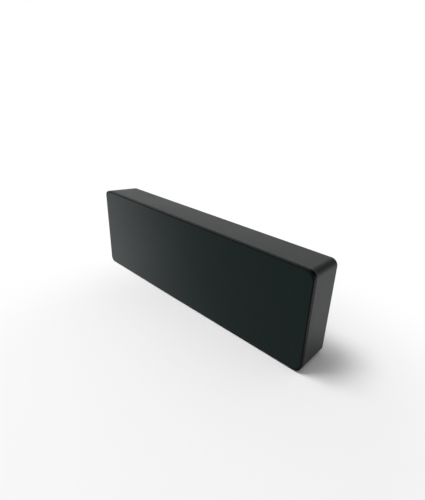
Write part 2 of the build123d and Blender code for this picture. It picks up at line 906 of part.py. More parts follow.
def usb_tongue():
    """Contact tongue in the middle of the socket."""
    floor = socket_mouth() - socket_depth + socket_skin
    outline = Rectangle(tongue_width, tongue_thickness)
    return slab(outline, floor, floor + tongue_length, -zone_middle, socket_row)


def power_board():
    """Small board, square to the main board, that carries the supply socket."""
    top = socket_row - socket_height / 2
    outline = Rectangle(riser_width, riser_thickness)
    return slab(outline, board_back, cover_inner - riser_gap, -zone_middle, top - riser_thickness / 2)


def alarm_buzzer():
    """Round buzzer with a small mouth towards the sound holes."""
    top = board_back + buzzer_height
    body = rod(buzzer_diameter / 2, board_back, top, -zone_middle, buzzer_row)
    return body - rod(buzzer_mouth / 2, top - buzzer_mouth_depth, top + overrun, -zone_middle, buzzer_row)


def clock_chip():
    """Controller with two rows of bent leads."""
    z = middle - chip_drop
    stand = board_back + chip_lead_thickness
    chip = slab(Rectangle(chip_length, chip_width), stand, board_back + chip_height, zone_middle, z)
    for place in range(chip_lead_count):
        x = zone_middle + chip_lead_pitch * (place - (chip_lead_count - 1) / 2)
        reach = chip_width + 2 * chip_lead_reach
        chip += slab(Rectangle(chip_lead_width, reach), board_back, stand, x, z)
    return chip


def quartz_crystal():
    """Oval crystal can beside the controller."""
    x = zone_middle - chip_length / 2 - crystal_gap - crystal_width / 2
    outline = Rot(0, 0, 90) * SlotOverall(crystal_length, crystal_width)
    can = slab(outline, board_back, board_back + crystal_height, x, middle - chip_drop)
    return chamfer(rear_edges(can), can_edge_break)


def supply_capacitor():
    """Round capacitor that steadies the supply."""
    x = -(zone_start + capacitor_gap + capacitor_diameter / 2)
    can = rod(capacitor_diameter / 2, board_back, board_back + capacitor_height, x, middle - chip_drop)
    return chamfer(rear_edges(can), can_edge_break)


def chip_resistors():
    """Row of resistors between the keys' switches and the controller."""
    pitch = (key_places[-1] - key_places[0]) / (resistor_count - 1)
    outline = Rectangle(resistor_width, resistor_length)
    top = board_back + resistor_height
    places = [key_places[0] + pitch * place for place in range(resistor_count)]
    return [slab(outline, board_back, top, x, middle - resistor_drop) for x in places]


def driver_transistors():
    """Row of transistors that switch the digits."""
    outline = Rectangle(transistor_length, transistor_width)
    top = board_back + transistor_height
    offsets = [transistor_pitch * (place - (transistor_count - 1) / 2) for place in range(transistor_count)]
    return [slab(outline, board_back, top, x - zone_middle, middle - transistor_drop) for x in offsets]


nodes = {
    "lens_panel": lens_panel(),
    "lens_tape": lens_tape(),
    "front_shell": front_shell(),
    "foot_pads": foot_pads(),
    "diffuser_sheet": diffuser_sheet(),
    "segment_reflector": segment_reflector(),
    "segment_leds": segment_leds(),
    "main_board": main_board(),
    "board_screws": board_screws(),
    "rear_cover": rear_cover(),
    "case_screws": case_screws(),
    "battery_door": battery_door(),
    "contact_plates": contact_plates(),
    "battery_springs": battery_springs(),
    "positive_lead": battery_lead(1, cell_count - 1, -lead_drop),
    "negative_lead": battery_lead(-1, 0, lead_drop),
    "switch_bodies": switch_bodies(),
    "usb_socket": usb_socket(),
    "usb_tongue": usb_tongue(),
    "power_board": power_board(),
    "alarm_buzzer": alarm_buzzer(),
    "clock_chip": clock_chip(),
    "quartz_crystal": quartz_crystal(),
    "supply_capacitor": supply_capacitor(),
    "chip_resistors": chip_resistors(),
    "driver_transistors": driver_transistors(),
}
for name, x in zip(key_names, key_places):
    nodes[f"{name}_button"] = key(x)
    nodes[f"{name}_plunger"] = plunger(x)

os.makedirs("parts", exist_ok=True)
for name, shape in nodes.items():
    pieces = shape if isinstance(shape, list) else [shape]
    solids = [solid for piece in pieces for solid in piece.solids()]
    export_step(solids[0] if len(solids) == 1 else Compound(children=solids), f"parts/{name}.step")
print(f"{len(nodes)} nodes, {width} x {depth:.2f} x {height} mm, hinge at y {hinge_y:.2f} z {hinge_z:.2f}")
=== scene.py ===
from math import radians

import bmesh
import bpy
from bpy.props import FloatProperty, FloatVectorProperty, PointerProperty
from mathutils import Matrix, Vector


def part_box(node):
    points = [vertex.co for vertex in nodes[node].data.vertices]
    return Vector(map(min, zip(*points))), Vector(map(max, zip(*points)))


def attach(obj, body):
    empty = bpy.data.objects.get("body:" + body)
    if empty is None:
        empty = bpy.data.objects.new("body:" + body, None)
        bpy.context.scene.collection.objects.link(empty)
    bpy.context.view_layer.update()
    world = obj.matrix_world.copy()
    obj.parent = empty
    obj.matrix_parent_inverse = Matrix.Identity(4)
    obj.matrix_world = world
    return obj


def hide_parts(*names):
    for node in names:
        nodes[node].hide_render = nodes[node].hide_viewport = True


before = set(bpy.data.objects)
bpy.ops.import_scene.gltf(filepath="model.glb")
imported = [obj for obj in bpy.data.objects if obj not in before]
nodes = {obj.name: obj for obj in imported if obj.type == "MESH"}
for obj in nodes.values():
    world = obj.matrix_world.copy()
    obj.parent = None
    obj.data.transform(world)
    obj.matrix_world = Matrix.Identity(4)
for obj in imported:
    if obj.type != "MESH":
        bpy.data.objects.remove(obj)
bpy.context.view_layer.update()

bl_info = {
    "name": "Digital desk clock",
    "version": (1, 0, 0),
    "blender": (4, 5, 0),
    "location": "3D View > Sidebar > Desk clock",
    "description": "Finishes, screws, springs, signs and a plain studio for an LED desk clock",
    "category": "Object",
}

mm = 0.001
white = (1.0, 1.0, 1.0, 1.0)
crisp_angle = radians(45)
edge_samples = 6
edge_turn = 1 / 3  # how far the rounded normal leaves the true one where an edge is fully worn


class Value:
    """A socket's value. A sum on it adds Math nodes to its tree."""

    def __init__(self, graph, socket):
        self.graph = graph
        self.socket = socket

    def combine(self, operation, first, second):
        return self.graph.node("ShaderNodeMath", {"operation": operation}, {0: first, 1: second})

    def __add__(self, other):
        return self.combine("ADD", self, other)

    def __radd__(self, other):
        return self.combine("ADD", other, self)

    def __sub__(self, other):
        return self.combine("SUBTRACT", self, other)

    def __rsub__(self, other):
        return self.combine("SUBTRACT", other, self)

    def __mul__(self, other):
        return self.combine("MULTIPLY", self, other)

    def __rmul__(self, other):
        return self.combine("MULTIPLY", other, self)

    def __truediv__(self, other):
        return self.combine("DIVIDE", self, other)

    def __rtruediv__(self, other):
        return self.combine("DIVIDE", other, self)

    def __pow__(self, other):
        return self.combine("POWER", self, other)


class Graph:
    """A node tree that is filled one node at a time."""

    def __init__(self, tree):
        self.tree = tree
        tree.nodes.clear()

    def node(self, kind, settings=None, sockets=None, output=0):
        """Adds a node: its settings first, then the values or links of its sockets."""
        made = self.tree.nodes.new(kind)
        for name, value in (settings or {}).items():
            setattr(made, name, value)
        for name, value in (sockets or {}).items():
            if isinstance(value, Value):
                self.tree.links.new(value.socket, made.inputs[name])
            else:
                made.inputs[name].default_value = value
        return Value(self, made.outputs[output]) if made.outputs else None


class Finish(Graph):
    """A material on Object coordinates, which are the clock's own frame in metres."""

    def __init__(self, name):
        self.material = bpy.data.materials.new(name)
        self.material.use_nodes = True
        super().__init__(self.material.node_tree)
        self.place = self.node("ShaderNodeTexCoord", output="Object")

    def stretched(self, scale):
        """Place, multiplied along each axis."""
        sockets = {"Vector": self.place, "Scale": scale}
        return self.node("ShaderNodeMapping", {"vector_type": "POINT"}, sockets)

    def noise(self, size, detail=2.0, place=None):
        """Cloudy value from 0 to 1, with clouds of a size in metres."""
        sockets = {"Vector": place or self.place, "Scale": 1 / size, "Detail": detail}
        return self.node("ShaderNodeTexNoise", None, sockets)

    def cells(self, size):
        """Distance within cells of a size in metres."""
        sockets = {"Vector": self.place, "Scale": 1 / size}
        return self.node("ShaderNodeTexVoronoi", {"feature": "F1"}, sockets, "Distance")

    def ramp(self, value, low, high, start=0.0, end=1.0, kind="LINEAR"):
        """Value remapped from low..high to start..end, and held there."""
        sockets = {"Value": value, "From Min": low, "From Max": high, "To Min": start, "To Max": end}
        return self.node("ShaderNodeMapRange", {"interpolation_type": kind}, sockets)

    def mix(self, share, first, second):
        """Colour between two colours."""
        return self.node("ShaderNodeMix", {"data_type": "RGBA"}, {0: share, 6: first, 7: second}, 2)

    def vector(self, operation, first, second=(0.0, 0.0, 0.0), output="Vector"):
        """Result of one vector sum."""
        return self.node("ShaderNodeVectorMath", {"operation": operation}, {0: first, 1: second}, output)

    def inside(self, low, high, radius):
        """How far a place lies inside a rounded outline in X and Z, up to the corner radius."""
        half = (high - low) / 2
        from_middle = self.vector("ABSOLUTE", self.vector("SUBTRACT", self.place, (low + high) / 2))
        past = self.vector("SUBTRACT", from_middle, (half.x - radius, half.y, half.z - radius))
        return radius - self.vector("LENGTH", self.vector("MAXIMUM", past), output="Value")

    def edges(self, width):
        """About 1 along edges and 0 on flat faces, by how far a rounded normal leaves the true one."""
        rounded = self.node("ShaderNodeBevel", {"samples": edge_samples}, {"Radius": width})
        true = self.node("ShaderNodeNewGeometry", output="Normal")
        return self.ramp(1 - self.vector("DOT_PRODUCT", rounded, true, "Value"), 0.0, edge_turn)

    def bump(self, height, distance):
        """Normal from a height, of which 1 stands for a distance in metres."""
        sockets = {"Height": height, "Distance": distance, "Strength": 1.0}
        return self.node("ShaderNodeBump", None, sockets)

    def surface(self, **sockets):
        """Principled surface; an underscore in a name stands for a space."""
        named = {name.replace("_", " "): value for name, value in sockets.items()}
        shader = self.node("ShaderNodeBsdfPrincipled", None, named)
        self.node("ShaderNodeOutputMaterial", None, {"Surface": shader})
        return self.material


class Shape(Graph):
    """A Geometry Nodes tree with named inputs for its sizes."""

    def __init__(self, name):
        super().__init__(bpy.data.node_groups.new(name, "GeometryNodeTree"))
        self.interface = self.tree.interface
        for side in ("INPUT", "OUTPUT"):
            self.interface.new_socket("Geometry", in_out=side, socket_type="NodeSocketGeometry")
        self.settings = {}

    def size(self, name, value):
        """A named input, with the value that the modifier is to give it."""
        socket = self.interface.new_socket(name, in_out="INPUT", socket_type="NodeSocketFloat")
        self.settings[socket.identifier] = value
        return self.node("NodeGroupInput", output=name)

    def host(self):
        """The geometry that the tree is put on."""
        return self.node("NodeGroupInput", output="Geometry")

    def join(self, *parts):
        """Several geometries as one."""
        joined = self.tree.nodes.new("GeometryNodeJoinGeometry")
        for part in parts:
            self.tree.links.new(part.socket, joined.inputs["Geometry"])
        return Value(self, joined.outputs["Geometry"])

    def vector(self, x=0.0, y=0.0, z=0.0):
        """Three values as one vector."""
        return self.node("ShaderNodeCombineXYZ", None, {"X": x, "Y": y, "Z": z})

    def moved(self, part, **sockets):
        """A part that is moved, turned or scaled."""
        named = {name.capitalize(): value for name, value in sockets.items()}
        return self.node("GeometryNodeTransform", None, {"Geometry": part, **named})

    def on_points(self, part):
        """One copy on each of the host's points, its own Z along the point's stored direction."""
        settings = {"data_type": "FLOAT_VECTOR"}
        stored = self.node("GeometryNodeInputNamedAttribute", settings, {"Name": "way"})
        turn = self.node("FunctionNodeAlignRotationToVector", {"axis": "Z"}, {"Vector": stored})
        sockets = {"Points": self.host(), "Instance": part, "Rotation": turn}
        return self.node("GeometryNodeInstanceOnPoints", None, sockets)

    def finish(self, part, material):
        """Ends the tree: real geometry, smooth faces with crisp edges, and one material."""
        smooth = self.node("GeometryNodeSetShadeSmooth", None, {"Geometry": part})
        angle = self.node("GeometryNodeInputMeshEdgeAngle", output="Unsigned Angle")
        limits = {"A": angle, "B": crisp_angle}
        sharp = self.node("FunctionNodeCompare", {"operation": "GREATER_THAN"}, limits)
        crisp = self.node("GeometryNodeSetShadeSmooth", {"domain": "EDGE"}, {
            "Geometry": smooth, "Selection": sharp, "Shade Smooth": False})
        real = self.node("GeometryNodeRealizeInstances", None, {"Geometry": crisp})
        done = self.node("GeometryNodeSetMaterial", None, {"Geometry": real, "Material": material})
        self.node("NodeGroupOutput", None, {"Geometry": done})

    def grow(self, name, places, ways):
        """A plain mesh object made by the tree on points at these places, each with its direction."""
        mesh = bpy.data.meshes.new(name)
        mesh.from_pydata(places, [], [])
        stored = mesh.attributes.new("way", "FLOAT_VECTOR", "POINT")
        for point, way in zip(stored.data, ways):
            point.vector = way
        made = bpy.data.objects.new(name, mesh)
        bpy.context.scene.collection.objects.link(made)
        modifier = made.modifiers.new(name, "NODES")
        modifier.node_group = self.tree
        for identifier, value in self.settings.items():
            modifier[identifier] = value
        evaluated = made.evaluated_get(bpy.context.evaluated_depsgraph_get())
        plain = bpy.data.meshes.new_from_object(evaluated)
        made.modifiers.clear()
        made.data = plain
        return made


class ClockFinishes(bpy.types.PropertyGroup):
    lens_colour: FloatVectorProperty(
        name="Lens colour", description="Body colour of the dark lens", subtype="COLOR", size=4,
        default=(0.0012, 0.0080, 0.0080, 1.0))
    # Dark edge colour: the sawn edge's own colour, and along the glossy face's outline a painted dark
    # reflection.
    lens_edge_and_dark_reflection_colour: FloatVectorProperty(
        name="Lens edge colour", description="Colour of the lens's sawn edge", subtype="COLOR", size=4,
        default=(0.0010, 0.0014, 0.0014, 1.0))
    lens_corner: FloatProperty(
        name="Lens corner", description="Corner radius of the lens's glossy face", unit="LENGTH",
        default=6.5 * mm)
    # The rim band reaches past the sawn edge onto the glossy face, where its darkness is painted dark
    # reflection.
    lens_rim: FloatVectorProperty(
        name="Lens rim",
        description="Distances from the outline between which the dark rim turns into the face",
        unit="LENGTH", size=2, default=(0.35 * mm, 0.8 * mm))
    case_colour: FloatVectorProperty(
        name="Case colour", description="Colour of the satin case", subtype="COLOR", size=4,
        default=(0.0130, 0.0158, 0.0154, 1.0))
    cover_colour: FloatVectorProperty(
        name="Cover colour", description="Colour of the rear cover, door and keys", subtype="COLOR",
        size=4, default=(0.027, 0.027, 0.028, 1.0))
    worn_colour: FloatVectorProperty(
        name="Worn edge colour", description="Colour of edges that are rubbed", subtype="COLOR", size=4,
        default=(0.075, 0.077, 0.080, 1.0))
    sign_colour: FloatVectorProperty(
        name="Sign colour", description="Colour of the painted signs on the keys", subtype="COLOR",
        size=4, default=(0.36, 0.36, 0.35, 1.0))
    grain_size: FloatProperty(
        name="Grain size", description="Size of the moulded grain on the case", unit="LENGTH",
        default=0.28 * mm)
    grain_depth: FloatProperty(
        name="Grain depth", description="Depth of the moulded grain on the case", unit="LENGTH",
        default=0.012 * mm)
    edge_width: FloatProperty(
        name="Worn edge width", description="How far wear reaches in from an edge", unit="LENGTH",
        default=0.35 * mm)


class ClockScrews(bpy.types.PropertyGroup):
    case_shank: FloatProperty(
        name="Case screw", description="Diameter of the case screws over the thread", unit="LENGTH",
        default=2.6 * mm)
    case_head: FloatProperty(
        name="Case screw head", description="Diameter of the case screws' heads", unit="LENGTH",
        default=4.6 * mm)
    case_head_height: FloatProperty(
        name="Case head height", description="Height of the case screws' heads", unit="LENGTH",
        default=1.6 * mm)
    board_shank: FloatProperty(
        name="Board screw", description="Diameter of the board screws over the thread", unit="LENGTH",
        default=2.0 * mm)
    board_head: FloatProperty(
        name="Board screw head", description="Diameter of the board screws' heads", unit="LENGTH",
        default=3.6 * mm)
    board_head_height: FloatProperty(
        name="Board head height", description="Height of the board screws' heads", unit="LENGTH",
        default=1.3 * mm)
    pitch: FloatProperty(
        name="Thread pitch", description="Rise of the thread in one turn", unit="LENGTH",
        default=0.9 * mm)


class ClockSprings(bpy.types.PropertyGroup):
    wire: FloatProperty(
        name="Wire", description="Diameter of the spring wire", unit="LENGTH", default=0.6 * mm)
    base_radius: FloatProperty(
        name="Base radius", description="Radius of the lowest turn", unit="LENGTH", default=3.4 * mm)
    tip_radius: FloatProperty(
        name="Tip radius", description="Radius of the last turn", unit="LENGTH", default=2.3 * mm)
    length: FloatProperty(
        name="Length", description="Free length of a spring", unit="LENGTH", default=6.7 * mm)
    turns: FloatProperty(name="Turns", description="Turns of a spring", default=3.5)
    pitch: FloatProperty(
        name="Cell pitch", description="Distance between the cells' middles", unit="LENGTH",
        default=11.1 * mm)
    plate_rise: FloatProperty(
        name="Plate rise", description="Height of the contact plates above the bay's floor",
        unit="LENGTH", default=0.75 * mm)


class ClockSigns(bpy.types.PropertyGroup):
    stroke: FloatProperty(
        name="Stroke", description="Width of the strokes of the signs", unit="LENGTH", default=0.5 * mm)
    key_rise: FloatProperty(
        name="Key sign height", description="How far a sign stands on its key", unit="LENGTH",
        default=0.12 * mm)
    bay_rise: FloatProperty(
        name="Bay sign height", description="How far a sign stands on the bay's floor", unit="LENGTH",
        default=0.2 * mm)
    key_size: FloatProperty(
        name="Key sign size", description="Width of a sign on a key", unit="LENGTH", default=2.6 * mm)
    bay_size: FloatProperty(
        name="Bay sign size", description="Width of a sign on the bay's floor", unit="LENGTH",
        default=4.2 * mm)
    bay_spread: FloatProperty(
        name="Bay sign spread", description="From the bay's middle to a sign", unit="LENGTH",
        default=16.5 * mm)


class ClockStudio(bpy.types.PropertyGroup):
    floor_colour: FloatVectorProperty(
        name="Floor colour", description="Colour of the pale floor", subtype="COLOR", size=4,
        default=(0.87, 0.87, 0.87, 1.0))
    floor_size: FloatProperty(
        name="Floor size", description="Side of the floor", unit="LENGTH", default=6.0)
    floor_middle: FloatVectorProperty(
        name="Floor middle", description="Where the floor is farthest from white", subtype="TRANSLATION",
        unit="LENGTH", default=(0.06, -0.07, 0.0))
    floor_fade: FloatVectorProperty(
        name="Floor fade",
        description="Distances between which the floor turns into the white background",
        unit="LENGTH", size=2, default=(0.08, 0.19))
    sky: FloatProperty(
        name="Sky", description="Strength of the even light from all round", default=0.47)
    gloss_sky: FloatProperty(
        name="Sky in glosses", description="Strength of the sky as glossy faces show it", default=0.67)
    key: FloatProperty(
        name="Key light", description="Power of the large light at the front left", unit="POWER",
        default=17.0)
    key_place: FloatVectorProperty(
        name="Key place", description="Place of the large light", subtype="TRANSLATION", unit="LENGTH",
        default=(-0.42, -0.32, 1.50))
    key_size: FloatProperty(
        name="Key size", description="Side of the large light", unit="LENGTH", default=0.6)
    flag_way: FloatVectorProperty(
        name="Flag direction", description="Where a dark flag shows in glosses", subtype="DIRECTION",
        default=(0.42, 0.74, 0.52))
    flag_reach: FloatVectorProperty(
        name="Flag reach", description="Nearness to the flag's direction where it begins and is full",
        size=2, default=(0.68, 0.95))
    horizon: FloatVectorProperty(
        name="Horizon", description="Heights between which white turns into the sky that glosses show",
        size=2, default=(0.16, 0.36))
    camera_place: FloatVectorProperty(
        name="Camera place", description="Place of the camera", subtype="TRANSLATION", unit="LENGTH",
        default=(0.1668, -0.1542, 0.1375))
    camera_aim: FloatVectorProperty(
        name="Camera aim", description="Point that the camera looks at", subtype="TRANSLATION",
        unit="LENGTH", default=(0.01333, 0.00281, 0.03655))
    camera_roll: FloatProperty(
        name="Camera roll", description="Turn of the camera about its view", subtype="ANGLE",
        default=radians(1.87))
    lens: FloatProperty(name="Lens", description="Focal length in millimetres", default=27.02)
    shift: FloatVectorProperty(
        name="Shift", description="Shift of the lens, as shares of the picture", size=2,
        default=(-0.0063, 0.0112))


def toned(colour, share, lift=0.0):
    """A colour made lighter or darker by a share, and then lifted."""
    return [min(1.0, channel * share + lift) for channel in colour[:3]] + [1.0]


film_slants = (0.34, 0.62)  # 0 faces the viewer and 1 is edge on
film_weights = (0.12, 0.50)  # of the coat, at those slants


def smoked_lens(look):
    """Glossy dark lens, with faint wipe marks and dust; its dark rim is the matte sawn edge and, where it
    reaches onto the glossy face, painted dark reflection.
    """
    finish = Finish("smoked_lens")
    wipes = finish.noise(9 * mm, 3.0, finish.stretched((1.0, 1.0, 0.45)))
    dust = finish.ramp(finish.noise(0.35 * mm, 1.0), 0.74, 0.80)
    low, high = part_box("lens_panel")
    # edge is 1 on the sawn edge and on a band of the glossy face along its outline; that band's darkness
    # is painted dark reflection.
    face = finish.ramp(finish.inside(low, high, look.lens_corner), *look.lens_rim, kind="SMOOTHSTEP")
    edge = 1 - face
    roughness = 0.025 + finish.ramp(wipes, 0.45, 0.75) * 0.035 + dust * 0.10 + edge * 0.35
    dust_colour = (0.30, 0.31, 0.31, 1.0)
    colour = finish.mix(dust * 0.10, look.lens_colour[:], dust_colour)
    # Dark rim colour: the sawn edge's own colour, and painted dark reflection where it covers the face.
    colour = finish.mix(edge, colour, look.lens_edge_and_dark_reflection_colour[:])
    saw = finish.noise(0.3 * mm, 2.0, finish.stretched((0.2, 1.0, 0.2)))
    normal = finish.bump(saw * edge, 0.02 * mm)
    slant = finish.node("ShaderNodeLayerWeight", output="Facing")
    film = finish.ramp(slant, *film_slants, *film_weights, "SMOOTHERSTEP") * face
    return finish.surface(
        Base_Color=colour, Roughness=roughness, IOR=1.15, Coat_Weight=film, Coat_Roughness=0.03,
        Normal=normal)


def moulded(name, look, colour, roughness, grain_share=1.0, wear_share=1.0):
    """Moulded plastic with a spark-eroded grain, uneven sheen and rubbed edges."""
    finish = Finish(name)
    grain = finish.noise(look.grain_size, 3.0)
    pits = finish.cells(look.grain_size * 2)
    patches = finish.noise(18 * mm, 3.0)
    worn = finish.edges(look.edge_width) * finish.ramp(finish.noise(3 * mm, 3.0), 0.25, 0.65)
    shade = finish.ramp(grain + patches, 0.6, 1.4, -0.25, 0.25)
    base = finish.mix(shade + 0.5, toned(colour, 0.75), toned(colour, 1.25))
    base = finish.mix(worn * 0.55 * wear_share, base, look.worn_colour[:])
    sheen = roughness + (patches - 0.5) * 0.12 + (grain - 0.5) * 0.10 - worn * 0.10
    normal = finish.bump(grain + pits * 0.5, look.grain_depth * grain_share)
    return finish.surface(Base_Color=base, Roughness=sheen, IOR=1.33, Normal=normal)


def satin_case(look):
    """Case: satin black with a fine grain."""
    return moulded("satin_case", look, look.case_colour, 0.46)


def grained_cover(look):
    """Rear cover and door: a deeper grain than the case."""
    return moulded("grained_cover", look, look.cover_colour, 0.55, 5.0)


def smooth_keys(look):
    """Keys: smoother than the cover, from use."""
    return moulded("smooth_keys", look, look.cover_colour, 0.36, 0.35)


def painted_signs(look):
    """Signs on the keys, painted and a little rubbed."""
    return moulded("painted_signs", look, look.sign_colour, 0.42, 0.3, 0.6)


def moulded_signs(look):
    """Signs in the bay, as moulded."""
    return moulded("moulded_signs", look, look.worn_colour, 0.42, 0.3)


def foot_rubber(look):
    """Pads: dull rubber with a fine grit."""
    finish = Finish("foot_rubber")
    grit = finish.noise(0.22 * mm, 2.0)
    scuffs = finish.ramp(finish.noise(4 * mm, 4.0), 0.5, 0.75)
    colour = finish.mix(scuffs, (0.018, 0.018, 0.018, 1.0), (0.045, 0.044, 0.042, 1.0))
    normal = finish.bump(grit, 0.03 * mm)
    return finish.surface(
        Base_Color=colour, Roughness=0.82 + scuffs * 0.1, Normal=normal, Specular_IOR_Level=0.3)


def foam_tape(look):
    """Tape: dark foam with small closed cells."""
    finish = Finish("foam_tape")
    bubbles = finish.cells(0.3 * mm)
    colour = finish.mix(bubbles, (0.008, 0.008, 0.008, 1.0), (0.03, 0.03, 0.03, 1.0))
    normal = finish.bump(bubbles, 0.06 * mm)
    return finish.surface(Base_Color=colour, Roughness=0.9 - bubbles * 0.1, Normal=normal)


def diffuser_film(look):
    """Sheet behind the lens: milky grey film with a fine haze."""
    finish = Finish("diffuser_film")
    haze = finish.noise(0.15 * mm, 2.0)
    colour = finish.mix(haze, (0.16, 0.17, 0.17, 1.0), (0.24, 0.25, 0.25, 1.0))
    normal = finish.bump(haze, 0.008 * mm)
    return finish.surface(Base_Color=colour, Roughness=0.5 + haze * 0.2, Normal=normal)


def reflector_white(look):
    """Reflector: bright moulded white with faint flow marks."""
    finish = Finish("reflector_white")
    flow = finish.noise(7 * mm, 4.0, finish.stretched((0.3, 1.0, 1.0)))
    grain = finish.noise(0.4 * mm, 2.0)
    colour = finish.mix(flow, (0.74, 0.74, 0.72, 1.0), (0.84, 0.84, 0.82, 1.0))
    normal = finish.bump(grain, 0.01 * mm)
    return finish.surface(Base_Color=colour, Roughness=0.42 + grain * 0.12, Normal=normal)


def led_resin(look):
    """LED chips: cloudy yellow resin."""
    finish = Finish("led_resin")
    cloud = finish.noise(0.6 * mm, 2.0)
    colour = finish.mix(cloud, (0.55, 0.50, 0.24, 1.0), (0.72, 0.66, 0.36, 1.0))
    normal = finish.bump(cloud, 0.02 * mm)
    return finish.surface(Base_Color=colour, Roughness=0.22 + cloud * 0.12, Normal=normal)


def board_laminate(look):
    """Circuit board: green resist over copper runs, with tinned spots."""
    finish = Finish("board_laminate")
    upright = {"Vector": finish.place, "Rotation": (radians(90), 0.0, 0.0)}
    turned = finish.node("ShaderNodeMapping", None, upright)
    bricks = {
        "Vector": turned, "Scale": 1 / (6 * mm), "Mortar Size": 0.03, "Brick Width": 1.3,
        "Row Height": 0.22}
    runs = finish.node("ShaderNodeTexBrick", {"offset": 0.37, "squash": 0.8}, bricks, "Fac")
    spots = finish.ramp(finish.cells(3.6 * mm), 0.10, 0.12, 1.0, 0.0)
    weave = finish.noise(0.5 * mm, 2.0)
    plain_green = (0.012, 0.075, 0.030, 1.0)
    green_on_copper = (0.020, 0.125, 0.050, 1.0)
    dark_green = (0.016, 0.060, 0.028, 1.0)
    tin = (0.55, 0.54, 0.52, 1.0)
    resist = finish.mix(runs, plain_green, green_on_copper)
    resist = finish.mix(weave * 0.25, resist, dark_green)
    colour = finish.mix(spots, resist, tin)
    normal = finish.bump(runs + spots + weave * 0.3, 0.03 * mm)
    return finish.surface(
        Base_Color=colour, Roughness=0.36 + weave * 0.1, Metallic=spots * 0.9, Normal=normal)


def metal(name, colour, roughness, stain=0.25, scratch=(1.0, 1.0, 12.0)):
    """Plated metal with fine drawn lines, dull patches and bright edges."""
    finish = Finish(name)
    lines = finish.noise(0.25 * mm, 3.0, finish.stretched(scratch))
    patches = finish.noise(2.5 * mm, 4.0)
    dull = finish.ramp(patches, 0.45, 0.75)
    worn = finish.edges(0.12 * mm)
    base = finish.mix(dull, colour, toned(colour, 1 - stain))
    bright_edge = (0.85, 0.85, 0.84, 1.0)
    base = finish.mix(worn * 0.5, base, bright_edge)
    sheen = roughness + dull * 0.14 + (lines - 0.5) * 0.12
    normal = finish.bump(lines, 0.006 * mm)
    return finish.surface(Base_Color=base, Roughness=sheen, Metallic=1.0, Normal=normal)


def black_screws(look):
    """Case screws: black-plated steel."""
    return metal("black_screws", (0.10, 0.10, 0.105, 1.0), 0.34)


def zinc_screws(look):
    """Board screws: bright zinc."""
    return metal("zinc_screws", (0.62, 0.63, 0.66, 1.0), 0.28)


def nickel_strip(look):
    """Battery contacts: nickel-plated strip."""
    return metal("nickel_strip", (0.66, 0.63, 0.57, 1.0), 0.24, 0.2, (1.0, 1.0, 18.0))


def spring_steel(look):
    """Springs: nickel-plated wire."""
    return metal("spring_steel", (0.60, 0.58, 0.54, 1.0), 0.26)


def socket_steel(look):
    """Supply socket: bright tinned steel."""
    return metal("socket_steel", (0.64, 0.64, 0.65, 1.0), 0.3, 0.2, (1.0, 0.1, 1.0))


def insulation(name, colour):
    """Lead: glossy insulation with shallow drag marks."""
    finish = Finish(name)
    drag = finish.noise(0.5 * mm, 3.0)
    base = finish.mix(drag, colour, toned(colour, 0.7))
    normal = finish.bump(drag, 0.015 * mm)
    return finish.surface(Base_Color=base, Roughness=0.36 + drag * 0.12, Normal=normal)


def red_insulation(look):
    """Positive lead."""
    return insulation("red_insulation", (0.42, 0.018, 0.014, 1.0))


def black_insulation(look):
    """Negative lead."""
    return insulation("black_insulation", (0.016, 0.016, 0.017, 1.0))


def component(name, colour, roughness, grain):
    """Small part on a board: moulded or sleeved, with a speckle and a grain."""
    finish = Finish(name)
    speckle = finish.noise(grain, 3.0)
    light = toned(colour, 1.6, 0.01)
    base = finish.mix(finish.ramp(speckle, 0.45, 0.7), colour, light)
    worn = finish.edges(0.15 * mm)
    base = finish.mix(worn * 0.3, base, light)
    sheen = roughness + (speckle - 0.5) * 0.15
    normal = finish.bump(speckle, 0.015 * mm)
    return finish.surface(Base_Color=base, Roughness=sheen, Normal=normal)


def switch_black(look):
    """Switches: hard black plastic."""
    return component("switch_black", (0.016, 0.016, 0.017, 1.0), 0.4, 0.2 * mm)


def plunger_ivory(look):
    """Plungers of the switches."""
    return component("plunger_ivory", (0.62, 0.58, 0.48, 1.0), 0.38, 0.3 * mm)


def chip_black(look):
    """Chip, resistors, transistors and buzzer: dull moulded resin."""
    return component("chip_black", (0.02, 0.02, 0.021, 1.0), 0.55, 0.12 * mm)


def capacitor_sleeve(look):
    """Capacitor: shrunk sleeve."""
    return component("capacitor_sleeve", (0.03, 0.034, 0.055, 1.0), 0.32, 0.5 * mm)


def can_steel(look):
    """Crystal: drawn steel can."""
    return metal("can_steel", (0.62, 0.62, 0.61, 1.0), 0.27)


def ray(graph, kind):
    """1 for rays of a kind: those of the camera, those in a gloss or those through glass."""
    return graph.node("ShaderNodeLightPath", output=f"Is {kind} Ray")


def pale_floor(studio):
    """Floor: plain, pale and dull, with a breath of unevenness."""
    finish = Finish("pale_floor")
    drift = finish.noise(0.25, 2.0)
    tone = studio.floor_colour
    base = finish.mix(drift, toned(tone, 0.985), tone[:])
    distance = finish.vector("DISTANCE", finish.place, studio.floor_middle, "Value")
    far = finish.ramp(distance, *studio.floor_fade, kind="SMOOTHERSTEP")
    paper = finish.node("ShaderNodeBsdfDiffuse", None, {"Color": base})
    glow = finish.node("ShaderNodeEmission", None, {"Color": white})
    seen = ray(finish, "Camera") + ray(finish, "Glossy") + ray(finish, "Transmission")
    faded = finish.node("ShaderNodeMixShader", None, {0: far * seen, 1: paper, 2: glow})
    finish.node("ShaderNodeOutputMaterial", None, {"Surface": faded})
    return finish.material


